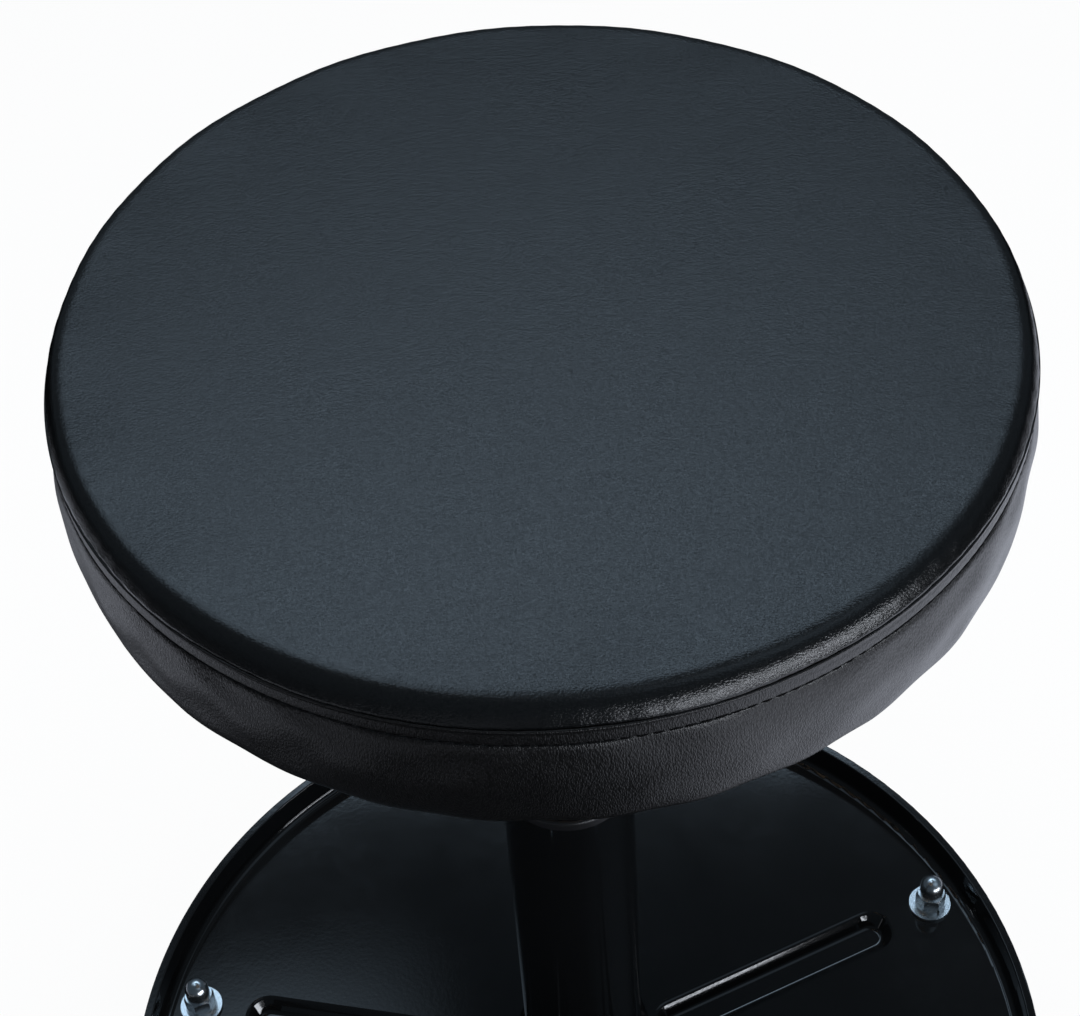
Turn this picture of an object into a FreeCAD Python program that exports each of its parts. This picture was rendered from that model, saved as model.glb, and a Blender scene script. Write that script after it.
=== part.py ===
import FreeCAD
import Part
import math
import os

# Swivel workshop stool: a round padded seat on a gas lift, over a tool tray on five casters.
# Millimetres, +Z up, origin on the floor under the column. One caster stands at +Y.

# Whole stool
seat_height = 622.5  # floor to the crown of the raised seat
lift_travel = 140.0
lift_margin = 9.0  # left between the socket and the bush at the bottom of the travel
slide_clearance = 0.15  # round a rod, pin or cylinder that slides or turns
part_clearance = 0.3  # between pieces that only lie side by side
overrun = 2.0  # how far a cut runs past the face it opens

# Seat
seat_radius = 178.0
seat_thickness = 72.5  # crown to the underside of the board
seat_crown = 4.0
seat_roll = 12.0  # rounding of the top panel's edge
seam_drop = 18.0  # crown to the seam
seam_allowance = 6.0  # vinyl folded in at the seam
seam_bend_share = 1.4  # of the vinyl's thickness
vinyl = 1.2
crown_turn_share = 0.5  # of the panel's radius
crown_reach_share = 0.84  # of the distance from the axis to the crown's turn
band_step = 0.8  # the band's upper edge beyond the top panel
band_swell = 3.4  # widest place of the band beyond the top panel
band_swell_drop = 25.0
band_bow = 130.0
band_foot = 1.6  # lower corner of the band beyond the top panel
band_tuck = 11.0
band_under = 24.0  # vinyl turned under the board
board_inset = 10.0
board_thickness = 12.0
board_edge = 2.0

# Seat fasteners
bolt_spacing = 120.0
bolt_radius = 3.0
bolt_head_flats = 10.0
bolt_head_height = 4.0
bolt_flange_radius = 7.0
bolt_flange_height = 1.2
tee_barrel_radius = 4.0
tee_flange_radius = 9.5
tee_flange_height = 1.6

# Seat plate and socket
plate_side = 160.0
plate_sheet = 3.0
plate_lip = 11.0
plate_corner = 20.0
plate_bend = 5.0
socket_radius = 23.0
socket_length = 60.0
socket_weld = 5.0
socket_relief = 2.0  # bore above the taper, beyond the cylinder
taper_length = 40.0
taper_drop = 1.0

# Release lever and pin
lever_drop = 8.0  # plate to the lever's upper run
lever_radius = 4.5
lever_nose = 5.0  # past the release pin
lever_knee = 29.0
lever_knee_run = 20.0
lever_step = 21.0  # drop from the upper run to the outer run
lever_reach = 152.0
lever_bend = 12.0
lever_play = 0.6  # round the lever in its slot
lever_swing = 8.0  # degrees
pivot_offset = 18.0  # from the axis to the lever's pivot
pivot_radius = 2.0
grip_radius = 8.0
grip_tip_radius = 6.5
grip_length = 56.0
grip_overlap = 46.0  # of the rod inside the grip
grip_edge = 2.0
pin_radius = 3.0
pin_crown = 2.2
pin_stand = 6.0  # out of the cylinder
pin_tail = 8.0  # below the cylinder's cap

# Gas lift
cylinder_radius = 14.0
cylinder_wall = 1.5
cylinder_cap = 25.0
cylinder_edge = 1.0
gland_length = 20.0
piston_height = 15.0
piston_gap = 3.0  # above the gland when the seat is up
piston_clearance = 0.3
seal_radius = 1.6
seal_stand = 0.2  # out of the piston
rod_radius = 5.0
rod_spigot_radius = 4.0
rod_tail = 6.0  # below the clip
rod_neck_radius = 3.0

# Thrust bearing, bumper and clip
race_thickness = 2.0
race_radius = 14.0
thrust_ball_radius = 2.5
thrust_ball_circle = 9.75
thrust_ball_count = 10
bumper_height = 15.0
bumper_radius = 13.0
bumper_edge = 2.5
bumper_gap = 1.0  # under the cylinder at the bottom of the travel
clip_thickness = 1.0
clip_radius = 8.0
clip_washer_thickness = 1.2
clip_washer_radius = 9.0

# Column
column_radius = 30.15
column_wall = 2.5
column_weld = 4.2
foot_radius = 40.0
foot_thickness = 4.0
foot_edge = 1.0
collar_wall = 5.0
collar_rise = 36.5  # from the tray floor to the top of the foot's collar
bush_length = 60.0
bush_flange = 5.5
bush_edge = 2.0
bush_ring = 3.2
bush_dish = 2.0

# Tray
tray_radius = 240.0
tray_sheet = 1.5
tray_depth = 17.5  # floor to the top of the rim
tray_lean = 2.0
tray_bend = 4.0
rim_turn = 1.6  # middle line of the rolled rim
rim_tail = 3.2
groove_flat = 6.5  # half the width of the groove's flat bottom
groove_depth = 8.0
groove_run = 5.5
groove_bend = 3.5
groove_lead = 4.0
groove_lead_rise = 0.55
groove_gap = 38.0  # from a stem to the centre of the groove's outer end
groove_start = 55.0  # from the axis to the centre of the groove's inner end

# Caster fixings
caster_count = 5
caster_inset = 25.0  # stem to the rim
stem_radius = 4.75
stem_hole_clearance = 0.4
stem_thread_share = 0.7  # of the acorn nut's height
washer_radius = 11.5
washer_thickness = 1.8
lock_radius = 8.7
lock_thickness = 2.4
lock_split = 1.6
nut_flats = 14.3
nut_hex_height = 8.4
nut_height = 20.5
nut_dome_radius = 6.5
nut_bevel = 0.9

# Casters
wheel_radius = 25.0
wheel_width = 18.0
wheel_edge = 5.0
rim_radius = 19.5
rim_thickness = 3.5
web_thickness = 4.0
hub_radius = 8.0
hub_edge = 0.8
hub_length = 19.4
axle_radius = 4.0
axle_head_radius = 6.5
axle_head_height = 2.4
axle_head_edge = 1.6
fork_gap = 0.5  # beside the hub
fork_sheet = 2.4
fork_bend = 3.5
fork_leg = 9.0  # round the axle
fork_round_share = 0.94  # of the leg's half width
fork_front = 13.0
fork_back = 15.0
fork_shoulder = 14.0  # depth of the straight part under the crown
caster_trail = 20.0
crown_radius = 15.5
swivel_ball_radius = 2.0
swivel_ball_circle = 10.5
swivel_ball_count = 8
flange_radius = 15.0
flange_thickness = 3.0
flange_edge = 1.0
kingpin_radius = 5.0
kingpin_head_radius = 7.0
kingpin_head = 3.0
wheel_gap = 7.0  # between the wheel and the kingpin's head

# Heights of the caster, from the floor up to the tray
kingpin_foot = 2 * wheel_radius + wheel_gap
crown_bottom = kingpin_foot + kingpin_head + part_clearance
crown_top = crown_bottom + fork_sheet
ball_level = crown_top + slide_clearance + swivel_ball_radius
flange_bottom = ball_level + swivel_ball_radius
tray_bottom = flange_bottom + flange_thickness
tray_floor = tray_bottom + tray_sheet
rim_top = tray_floor + tray_depth
washer_top = tray_floor + washer_thickness
lock_top = washer_top + lock_thickness
nut_top = lock_top + nut_height
stem_top = lock_top + nut_height * stem_thread_share
caster_circle = tray_radius - caster_inset
groove_end = caster_circle - groove_gap

# Heights of the bearing, from the foot plate up to the bumper
foot_bottom = tray_bottom - foot_thickness
collar_radius = column_radius + collar_wall
collar_top = tray_floor + collar_rise
lower_race_top = tray_bottom + race_thickness
thrust_level = lower_race_top + thrust_ball_radius
upper_race_bottom = thrust_level + thrust_ball_radius + slide_clearance
upper_race_top = upper_race_bottom + race_thickness
bumper_top = upper_race_top + bumper_height
clip_washer_top = foot_bottom - part_clearance
clip_top = clip_washer_top - clip_washer_thickness
clip_bottom = clip_top - clip_thickness
rod_bottom = clip_bottom - rod_tail

# Heights of the seat, from its crown down to the column
seam_level = seat_height - seam_drop
board_bottom = seat_height - seat_thickness
board_top = board_bottom + board_thickness
board_radius = seat_radius - board_inset
plate_bottom = board_bottom - plate_sheet
socket_bottom = plate_bottom - socket_length
taper_top = socket_bottom + taper_length
lever_level = plate_bottom - lever_drop
lever_low = lever_level - lever_step
pin_top = lever_level - lever_radius - part_clearance
cylinder_top = pin_top - pin_stand
column_top = socket_bottom - lift_travel - lift_margin
bush_bottom = column_top - bush_length
tube_top = column_top - bush_flange

# Gas cylinder and piston with the seat up
cylinder_bottom = bumper_top + bumper_gap + lift_travel
cap_bottom = cylinder_top - cylinder_cap
bore_radius = cylinder_radius - cylinder_wall
gland_top = cylinder_bottom + gland_length
piston_bottom = gland_top + piston_gap
piston_top = piston_bottom + piston_height
piston_radius = bore_radius - piston_clearance

# Fork and axle
fork_inner = hub_length / 2 + fork_gap
fork_outer = fork_inner + fork_sheet

tolerance = 1e-6
full_turn = 360.0
half_turn = full_turn / 2
quarter_turn = full_turn / 4
hexagon = 6
Vector = FreeCAD.Vector
centre = Vector(0, 0, 0)
along_x = Vector(1, 0, 0)
along_y = Vector(0, 1, 0)
along_z = Vector(0, 0, 1)


def rounded_edges(corners, closed):
    """Lines and arcs in the XZ plane through (x, z, radius) corners, each rounded by its radius."""
    points = [Vector(x, 0, z) for x, z, radius in corners]
    starts, ends, arcs = [], [], []
    for index, (x, z, radius) in enumerate(corners):
        point = points[index]
        last = not closed and index in (0, len(corners) - 1)
        if last or radius <= tolerance:
            starts.append(point)
            ends.append(point)
            arcs.append(None)
            continue
        back = (points[index - 1] - point).normalize()
        ahead = (points[(index + 1) % len(points)] - point).normalize()
        half_angle = back.getAngle(ahead) / 2
        reach = radius / math.tan(half_angle)
        inward = (back + ahead).normalize()
        depth = radius / math.sin(half_angle) - radius
        starts.append(point + back * reach)
        ends.append(point + ahead * reach)
        arcs.append(Part.Arc(starts[-1], point + inward * depth, ends[-1]).toShape())
    edges = []
    for index in range(len(corners)):
        if arcs[index]:
            edges.append(arcs[index])
        following = (index + 1) % len(corners)
        if following == 0 and not closed:
            break
        if ends[index].distanceToPoint(starts[following]) > tolerance:
            edges.append(Part.LineSegment(ends[index], starts[following]).toShape())
    return edges


def rounded_face(corners):
    """Face in the XZ plane inside a rounded outline."""
    return Part.Face(Part.Wire(rounded_edges(corners, True)))


def offset_path(path, offset):
    """Corners of a rounded path moved to its left by the offset, with the bends opened or closed to suit."""
    points = [Vector(x, 0, z) for x, z, bend in path]
    runs = [(points[index + 1] - points[index]).normalize() for index in range(len(points) - 1)]
    sides = [Vector(-run.z, 0, run.x) for run in runs]
    corners = []
    for index, (x, z, bend) in enumerate(path):
        before = sides[max(index - 1, 0)]
        after = sides[min(index, len(sides) - 1)]
        moved = points[index] + (before + after) * (offset / (1 + before.dot(after)))
        turn = math.copysign(1, before.z * after.x - before.x * after.z)
        corners.append((moved.x, moved.z, max(bend - turn * offset, 0) if bend else 0))
    return corners


def sheet_face(path, thickness):
    """Section of a bent sheet whose middle line is the path."""
    outer = offset_path(path, thickness / 2)
    inner = offset_path(path, -thickness / 2)
    return rounded_face(outer + inner[::-1])


def outward(solid):
    """The same solid with its faces turned outward."""
    if solid.Volume < 0:
        solid.reverse()
    return solid


def spun(face):
    """Solid that a face in the XZ plane sweeps round the Z axis."""
    return outward(face.revolve(centre, along_z, full_turn))


def spin(corners):
    """Solid of revolution of an outline given as (radius, height, rounding)."""
    return spun(rounded_face(corners))


def ring(inner, outer, bottom, top, edge=0):
    """Ring or disc on the Z axis with both outer edges rounded."""
    return spin([(inner, bottom, 0), (outer, bottom, edge), (outer, top, edge), (inner, top, 0)])


def turned(shape, axis, angle):
    """Copy of a shape turned about an axis through the origin."""
    copy = shape.copy()
    copy.rotate(centre, axis, angle)
    return copy


def moved(shape, x, y, z):
    """Copy of a shape moved by a distance."""
    copy = shape.copy()
    copy.translate(Vector(x, y, z))
    return copy


def slab(corners, bottom, height):
    """Plate in the XY plane with a rounded outline."""
    face = turned(rounded_face(corners), along_x, -quarter_turn)
    return outward(moved(face, 0, 0, bottom).extrude(Vector(0, 0, height)))


def square(side, corner):
    """Corners of a rounded square about the Z axis."""
    half = side / 2
    return [(-half, -half, corner), (half, -half, corner), (half, half, corner), (-half, half, corner)]


def hexagon_prism(flats, bottom, height):
    """Hexagonal prism on the Z axis."""
    radius = flats / 2 / math.cos(math.pi / hexagon)
    turns = [2 * math.pi * index / hexagon for index in range(hexagon)]
    return slab([(radius * math.cos(turn), radius * math.sin(turn), 0) for turn in turns], bottom, height)


def round_the_column(shape):
    """The five copies of a shape made at the +Y caster."""
    step = full_turn / caster_count
    return [turned(shape, along_z, step * index) for index in range(caster_count)]


def at_bolts(shape):
    """The four copies of a shape at the corners of the bolt square."""
    half = bolt_spacing / 2
    return [moved(shape, x, y, 0) for x in (-half, half) for y in (-half, half)]


def at_caster(shape):
    """Copy of a shape moved from the Z axis to the +Y caster."""
    return moved(shape, 0, caster_circle, 0)


def on_axle(shape):
    """Copy of a shape turned from the Z axis onto the +Y caster's axle."""
    return moved(turned(shape, along_x, quarter_turn), caster_trail, caster_circle, wheel_radius)


# Seat

def top_panel_path(allowance):
    """Middle line of the top panel, from the axis to the end of its seam allowance."""
    level = seat_height - vinyl / 2
    edge = seat_radius - vinyl / 2
    turn = edge * crown_turn_share
    fall = math.atan2(seat_crown, edge - turn)
    crown_bend = turn * crown_reach_share / math.tan(fall / 2)
    fold = seam_level + vinyl / 2
    return [
        (0, level, 0),
        (turn, level, crown_bend),
        (edge, level - seat_crown, seat_roll),
        (edge, fold, vinyl * seam_bend_share),
        (seat_radius - allowance, fold, 0),
    ]


def side_band_path(allowance, end):
    """Middle line of the side band, from its seam allowance to its end under the board."""
    fold = seam_level - vinyl / 2
    under = board_bottom - vinyl / 2
    inner = seat_radius - vinyl / 2
    return [
        (seat_radius - allowance, fold, 0),
        (inner + band_step, fold, vinyl * seam_bend_share),
        (inner + band_swell, seam_level - band_swell_drop, band_bow),
        (inner + band_foot, under, band_tuck),
        (end, under, 0),
    ]


def seat_top_panel():
    """Crowned vinyl disc with a rolled edge, folded in at the seam."""
    return spun(sheet_face(top_panel_path(seam_allowance), vinyl))


def seat_side_band():
    """Vinyl band that swells below the seam and is turned under the board."""
    return spun(sheet_face(side_band_path(seam_allowance, board_radius - band_under), vinyl))


def seat_foam():
    """Foam that fills the cover and laps round the edge of the board."""
    inset = -(vinyl / 2 + part_clearance)
    allowance = seam_allowance + part_clearance
    board_side = board_radius + part_clearance
    upper = offset_path(top_panel_path(allowance), inset)
    lower = offset_path(side_band_path(allowance, board_side), inset)
    return spin(upper + lower + [(board_side, board_top, 0), (0, board_top, 0)])


def seat_board():
    """Plywood disc with four stepped holes for the tee nuts."""
    board = ring(0, board_radius, board_bottom, board_top, board_edge)
    hole = ring(0, tee_barrel_radius, board_bottom - overrun, board_top + overrun)
    seat = ring(0, tee_flange_radius + part_clearance, board_top - tee_flange_height, board_top + overrun)
    return board.cut(at_bolts(hole.fuse(seat)))


def seat_tee_nuts():
    """Tee nuts sunk in the upper face of the board."""
    step = board_top - tee_flange_height
    nut = spin([
        (bolt_radius, board_bottom, 0),
        (tee_barrel_radius, board_bottom, 0),
        (tee_barrel_radius, step, 0),
        (tee_flange_radius, step, 0),
        (tee_flange_radius, board_top, 0),
        (bolt_radius, board_top, 0),
    ])
    return Part.makeCompound(at_bolts(nut))


def seat_bolts():
    """Flanged hexagon bolts up through the plate into the tee nuts."""
    shank = ring(0, bolt_radius, plate_bottom - bolt_flange_height, board_top - tee_flange_height)
    flange_bottom_level = plate_bottom - bolt_flange_height
    flange = ring(0, bolt_flange_radius, flange_bottom_level, plate_bottom)
    head = hexagon_prism(bolt_head_flats, flange_bottom_level - bolt_head_height, bolt_head_height)
    return Part.makeCompound(at_bolts(shank.fuse([flange, head])))


def seat_plate():
    """Pressed square plate with a turned-down lip and four bolt holes."""
    lip_bottom = board_bottom - plate_lip
    outer = slab(square(plate_side, plate_corner), lip_bottom, plate_lip)
    rim = [edge for edge in outer.Edges if edge.BoundBox.ZMin > board_bottom - tolerance]
    outer = outer.makeFillet(plate_bend, rim)
    inner_side = plate_side - 2 * plate_sheet
    depth = plate_lip - plate_sheet
    inner = slab(square(inner_side, plate_corner - plate_sheet), lip_bottom, depth)
    rim = [edge for edge in inner.Edges if edge.BoundBox.ZMin > plate_bottom - tolerance]
    inner = inner.makeFillet(plate_bend - plate_sheet, rim)
    hole = ring(0, bolt_radius + slide_clearance, plate_bottom - overrun, board_bottom + overrun)
    return outer.cut([inner] + at_bolts(hole))


def lever_slot():
    """Slot through the socket's +X wall that lets the lever swing."""
    reach = socket_radius + socket_weld
    swing = (reach - pivot_offset) * math.tan(math.radians(lever_swing))
    half_height = lever_radius / math.cos(math.radians(lever_swing)) + swing + lever_play
    width = 2 * (lever_radius + lever_play)
    length = reach + overrun
    return Part.makeBox(length, width, 2 * half_height, Vector(0, -width / 2, lever_level - half_height))


def pivot_rod(radius, length):
    """Rod across the lever at its pivot."""
    return Part.makeCylinder(radius, length, Vector(pivot_offset, -length / 2, lever_level), along_y)


def taper_socket():
    """Socket welded under the plate, with a tapered bore, a slot for the lever and a cross hole."""
    relief = cylinder_radius + socket_relief
    body = spin([
        (cylinder_radius, socket_bottom, 0),
        (socket_radius, socket_bottom, 0),
        (socket_radius, plate_bottom - socket_weld, 0),
        (socket_radius + socket_weld, plate_bottom, 0),
        (relief, plate_bottom, 0),
        (relief, taper_top, 0),
        (cylinder_radius - taper_drop, taper_top, 0),
    ])
    return body.cut([lever_slot(), pivot_rod(pivot_radius, 2 * socket_radius)])


def lever_pivot():
    """Pin that carries the lever, as long as the socket is wide there."""
    length = 2 * math.sqrt(socket_radius ** 2 - (pivot_offset + pivot_radius) ** 2)
    return pivot_rod(pivot_radius, length)


def release_lever():
    """Bent rod from above the release pin out under the seat."""
    low = lever_knee + lever_knee_run
    path = [
        (-lever_nose, lever_level, 0),
        (lever_knee, lever_level, lever_bend),
        (low, lever_low, lever_bend),
        (lever_reach, lever_low, 0),
    ]
    section = Part.Wire(Part.makeCircle(lever_radius, Vector(-lever_nose, 0, lever_level), along_x))
    rod = Part.Wire(rounded_edges(path, False)).makePipeShell([section], True, False)
    return outward(rod).cut(pivot_rod(pivot_radius + slide_clearance, 2 * socket_radius))


def lever_grip():
    """Tapered plastic sleeve with a blind bore on the end of the lever."""
    start = lever_reach - grip_overlap
    sleeve = spin([
        (lever_radius, 0, 0),
        (grip_tip_radius, 0, grip_edge / 2),
        (grip_radius, grip_length, grip_edge),
        (0, grip_length, 0),
        (0, grip_overlap, 0),
        (lever_radius, grip_overlap, 0),
    ])
    return moved(turned(sleeve, along_y, quarter_turn), start, 0, lever_low)


def release_pin():
    """Pin in the cap of the gas cylinder that opens its valve, with a rounded top."""
    return spin([
        (0, cap_bottom - pin_tail, 0),
        (pin_radius, cap_bottom - pin_tail, 0),
        (pin_radius, pin_top, pin_crown),
        (0, pin_top, 0),
    ])


# Gas lift

def gas_cylinder():
    """Pressure tube with a closed, tapered upper end."""
    top_radius = cylinder_radius - taper_drop
    pin_bore = pin_radius + slide_clearance
    return spin([
        (bore_radius, cylinder_bottom, 0),
        (cylinder_radius, cylinder_bottom, cylinder_edge),
        (cylinder_radius, socket_bottom, 0),
        (top_radius, taper_top, 0),
        (top_radius, cylinder_top, cylinder_edge),
        (pin_bore, cylinder_top, 0),
        (pin_bore, cap_bottom, 0),
        (bore_radius, cap_bottom, 0),
    ])


def rod_gland():
    """Guide and seal block in the lower end of the cylinder."""
    return ring(rod_radius + slide_clearance, bore_radius, cylinder_bottom, gland_top)


def piston_rod():
    """Rod with a shoulder on the upper race, a grooved spigot below and a tenon for the piston."""
    return spin([
        (0, rod_bottom, 0),
        (rod_spigot_radius, rod_bottom, cylinder_edge),
        (rod_spigot_radius, clip_bottom, 0),
        (rod_neck_radius, clip_bottom, 0),
        (rod_neck_radius, clip_top, 0),
        (rod_spigot_radius, clip_top, 0),
        (rod_spigot_radius, upper_race_top, 0),
        (rod_radius, upper_race_top, 0),
        (rod_radius, piston_bottom, 0),
        (rod_neck_radius, piston_bottom, 0),
        (rod_neck_radius, piston_top, 0),
        (0, piston_top, 0),
    ])


def piston():
    """Piston on the rod's tenon with a groove for its seal."""
    middle = (piston_bottom + piston_top) / 2
    floor = piston_radius + seal_stand - 2 * seal_radius
    return spin([
        (rod_neck_radius, piston_bottom, 0),
        (piston_radius, piston_bottom, 0),
        (piston_radius, middle - seal_radius, 0),
        (floor, middle - seal_radius, 0),
        (floor, middle + seal_radius, 0),
        (piston_radius, middle + seal_radius, 0),
        (piston_radius, piston_top, 0),
        (rod_neck_radius, piston_top, 0),
    ])


def piston_seal():
    """Rubber ring in the piston's groove."""
    middle = (piston_bottom + piston_top) / 2
    circle = piston_radius + seal_stand - seal_radius
    return Part.makeTorus(circle, seal_radius, Vector(0, 0, middle))


def upper_race():
    """Hardened washer that turns with the rod."""
    return ring(rod_spigot_radius, race_radius, upper_race_bottom, upper_race_top)


def lower_race():
    """Hardened washer on the foot plate."""
    return ring(rod_radius, race_radius, tray_bottom, lower_race_top)


def ball_ring(radius, circle, count, level):
    """Balls evenly spaced on a circle about the Z axis."""
    ball = Part.makeSphere(radius, Vector(circle, 0, level))
    return [turned(ball, along_z, full_turn * index / count) for index in range(count)]


def thrust_balls():
    """Balls of the thrust bearing under the rod."""
    balls = ball_ring(thrust_ball_radius, thrust_ball_circle, thrust_ball_count, thrust_level)
    return Part.makeCompound(balls)


def bottom_bumper():
    """Rubber ring that stops the cylinder at the bottom of its travel."""
    return ring(rod_radius, bumper_radius, upper_race_top, bumper_top, bumper_edge)


def clip_washer():
    """Washer between the foot plate and the retaining clip."""
    return ring(rod_spigot_radius, clip_washer_radius, clip_top, clip_washer_top)


def retaining_clip():
    """Open clip in the spigot's groove."""
    disc = ring(rod_neck_radius, clip_radius, clip_bottom, clip_top)
    size = clip_radius + overrun
    width = 2 * rod_neck_radius
    return disc.cut(Part.makeBox(size, width, clip_thickness, Vector(0, -width / 2, clip_bottom)))


# Column

def column_tube():
    """Outer tube of the column, standing on the foot plate."""
    return ring(column_radius - column_wall, column_radius, tray_bottom, tube_top)


def column_weld_bead():
    """Fillet weld between the tube and the top of the foot's collar."""
    return spin([
        (column_radius, collar_top, 0),
        (column_radius + column_weld, collar_top, 0),
        (column_radius, collar_top + column_weld, 0),
    ])


def column_foot():
    """Plate under the tray that carries the bearing, with a collar round the foot of the tube."""
    bore = rod_spigot_radius + slide_clearance
    return spin([
        (bore, foot_bottom, 0),
        (foot_radius, foot_bottom, foot_edge),
        (foot_radius, tray_bottom, 0),
        (collar_radius, tray_bottom, 0),
        (collar_radius, collar_top, 0),
        (column_radius, collar_top, 0),
        (column_radius, tray_bottom, 0),
        (bore, tray_bottom, 0),
    ])


def guide_bush():
    """Plastic bush in the top of the tube, with a rounded flange round a dished face."""
    bore = cylinder_radius + slide_clearance
    spigot = column_radius - column_wall
    ring_inner = column_radius - bush_ring
    return spin([
        (bore, bush_bottom, 0),
        (spigot, bush_bottom, 0),
        (spigot, tube_top, 0),
        (column_radius, tube_top, 0),
        (column_radius, column_top, bush_edge),
        (ring_inner, column_top, 0),
        (ring_inner - bush_dish, column_top - bush_dish, 0),
        (bore, column_top - bush_dish, 0),
    ])


# Tray

def groove_corners(top):
    """Half section of a pressed groove, from its middle outward, closed at a height above the sheet."""
    edge = groove_flat + groove_run
    lead = edge + groove_lead
    return [
        (0, -groove_depth, 0),
        (groove_flat, -groove_depth, groove_bend),
        (edge, 0, groove_bend),
        (lead, groove_lead_rise, 0),
        (lead, top, 0),
        (0, top, 0),
    ]


def groove(top, level):
    """Straight round-ended groove along +Y, at a height."""
    half = groove_corners(top)
    mirrored = [(-x, z, radius) for x, z, radius in half[:0:-1] if x > 0]
    length = groove_end - groove_start
    section = rounded_face(half[1:-1] + mirrored)
    body = outward(section.extrude(Vector(0, length, 0)))
    end = outward(rounded_face(half).revolve(centre, along_z, half_turn))
    whole = body.fuse([moved(end, 0, length, 0), turned(end, along_z, half_turn)])
    return moved(whole, 0, groove_start, level)


def tray_pan():
    """Pressed pan with a rolled rim, five radial grooves and holes for the column and stems."""
    level = tray_floor - tray_sheet / 2
    wall = tray_radius - tray_sheet / 2 - 2 * rim_turn
    top = rim_top - tray_sheet / 2
    path = [
        (collar_radius + part_clearance, level, 0),
        (wall - tray_lean, level, tray_bend),
        (wall, top, rim_turn),
        (wall + 2 * rim_turn, top, rim_turn),
        (wall + 2 * rim_turn, top - rim_tail, 0),
    ]
    pan = spun(sheet_face(path, tray_sheet))
    pressed = round_the_column(groove(tray_sheet / 2, tray_bottom))
    hollow = round_the_column(groove(overrun, tray_floor))
    hole = ring(0, stem_radius + stem_hole_clearance, tray_bottom - overrun, tray_floor + overrun)
    return pan.fuse(pressed).cut(hollow).cut(round_the_column(at_caster(hole)))


# Caster fixings

def caster_stems():
    """Threaded stems, each with a bearing flange under the tray and a headed kingpin."""
    head_top = kingpin_foot + kingpin_head
    stem = spin([
        (0, kingpin_foot, 0),
        (kingpin_head_radius, kingpin_foot, flange_edge),
        (kingpin_head_radius, head_top, 0),
        (kingpin_radius, head_top, 0),
        (kingpin_radius, flange_bottom, 0),
        (flange_radius, flange_bottom, 0),
        (flange_radius, tray_bottom, flange_edge),
        (stem_radius, tray_bottom, 0),
        (stem_radius, stem_top, 0),
        (0, stem_top, 0),
    ])
    return Part.makeCompound(round_the_column(at_caster(stem)))


def caster_washers():
    """Large flat washers on the tray floor."""
    washer = ring(stem_radius + stem_hole_clearance, washer_radius, tray_floor, washer_top)
    return Part.makeCompound(round_the_column(at_caster(washer)))


def caster_lock_washers():
    """Split spring washers under the nuts."""
    washer = ring(stem_radius + slide_clearance, lock_radius, washer_top, lock_top)
    split = Part.makeBox(lock_radius, lock_split, lock_thickness, Vector(0, -lock_split / 2, washer_top))
    return Part.makeCompound(round_the_column(at_caster(washer.cut(split))))


def caster_acorn_nuts():
    """Domed nuts on the stems, with bevelled hexagons."""
    corner = nut_flats / 2 / math.cos(math.pi / hexagon)
    hex_top = lock_top + nut_hex_height
    prism = hexagon_prism(nut_flats, lock_top, nut_hex_height)
    bevel = spin([
        (0, lock_top, 0),
        (corner - nut_bevel, lock_top, 0),
        (corner, lock_top + nut_bevel, 0),
        (corner, hex_top - nut_bevel, 0),
        (corner - nut_bevel, hex_top, 0),
        (0, hex_top, 0),
    ])
    dome = ring(0, nut_dome_radius, hex_top, nut_top - nut_dome_radius)
    cap = Part.makeSphere(nut_dome_radius, Vector(0, 0, nut_top - nut_dome_radius))
    bore = ring(0, stem_radius, lock_top - overrun, stem_top)
    nut = prism.common(bevel).fuse([dome, cap]).cut(bore)
    return Part.makeCompound(round_the_column(at_caster(nut)))


def caster_swivel_balls():
    """Balls between the stem flanges and the fork crowns."""
    balls = ball_ring(swivel_ball_radius, swivel_ball_circle, swivel_ball_count, ball_level)
    group = Part.makeCompound(balls)
    placed = round_the_column(at_caster(group))
    return Part.makeCompound([ball for group in placed for ball in group.Solids])


# Casters

def caster_fork():
    """Bent sheet fork with a round crown and two legs that trail to the axle."""
    middle = fork_inner + fork_sheet / 2
    crown = crown_top - fork_sheet / 2
    channel_path = [(-middle, 0, 0), (-middle, crown, fork_bend), (middle, crown, fork_bend), (middle, 0, 0)]
    width = fork_front + caster_trail + fork_back + fork_leg
    channel = outward(sheet_face(channel_path, fork_sheet).extrude(Vector(0, width, 0)))
    channel = moved(turned(channel, along_z, -quarter_turn), -fork_front, 0, 0)
    leg_round = fork_leg * fork_round_share
    shoulder = crown_top - fork_shoulder
    side = outward(rounded_face([
        (-fork_front, crown_top, 0),
        (fork_back, crown_top, 0),
        (fork_back + fork_leg, shoulder, fork_leg),
        (caster_trail + fork_leg, wheel_radius - fork_leg, leg_round),
        (caster_trail - fork_leg, wheel_radius - fork_leg, leg_round),
        (-fork_front, shoulder, fork_leg),
    ]).extrude(Vector(0, 2 * fork_outer, 0)))
    legs = channel.common(moved(side, 0, -fork_outer, 0))
    race = ring(0, crown_radius, crown_bottom, crown_top)
    hole = ring(0, kingpin_radius + slide_clearance, crown_bottom - overrun, crown_top + overrun)
    fork = at_caster(legs.fuse(race).cut(hole))
    return fork.cut(on_axle(ring(0, axle_radius, -2 * fork_outer, 2 * fork_outer)))


def caster_axle():
    """Rivet through both legs with a rounded head outside each."""
    head_top = fork_outer + axle_head_height
    shank = ring(0, axle_radius, -fork_outer, fork_outer)
    head = spin([
        (0, fork_outer, 0),
        (axle_head_radius, fork_outer, 0),
        (axle_head_radius, head_top, axle_head_edge),
        (0, head_top, 0),
    ])
    return on_axle(shank.fuse([head, turned(head, along_x, half_turn)]))


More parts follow.
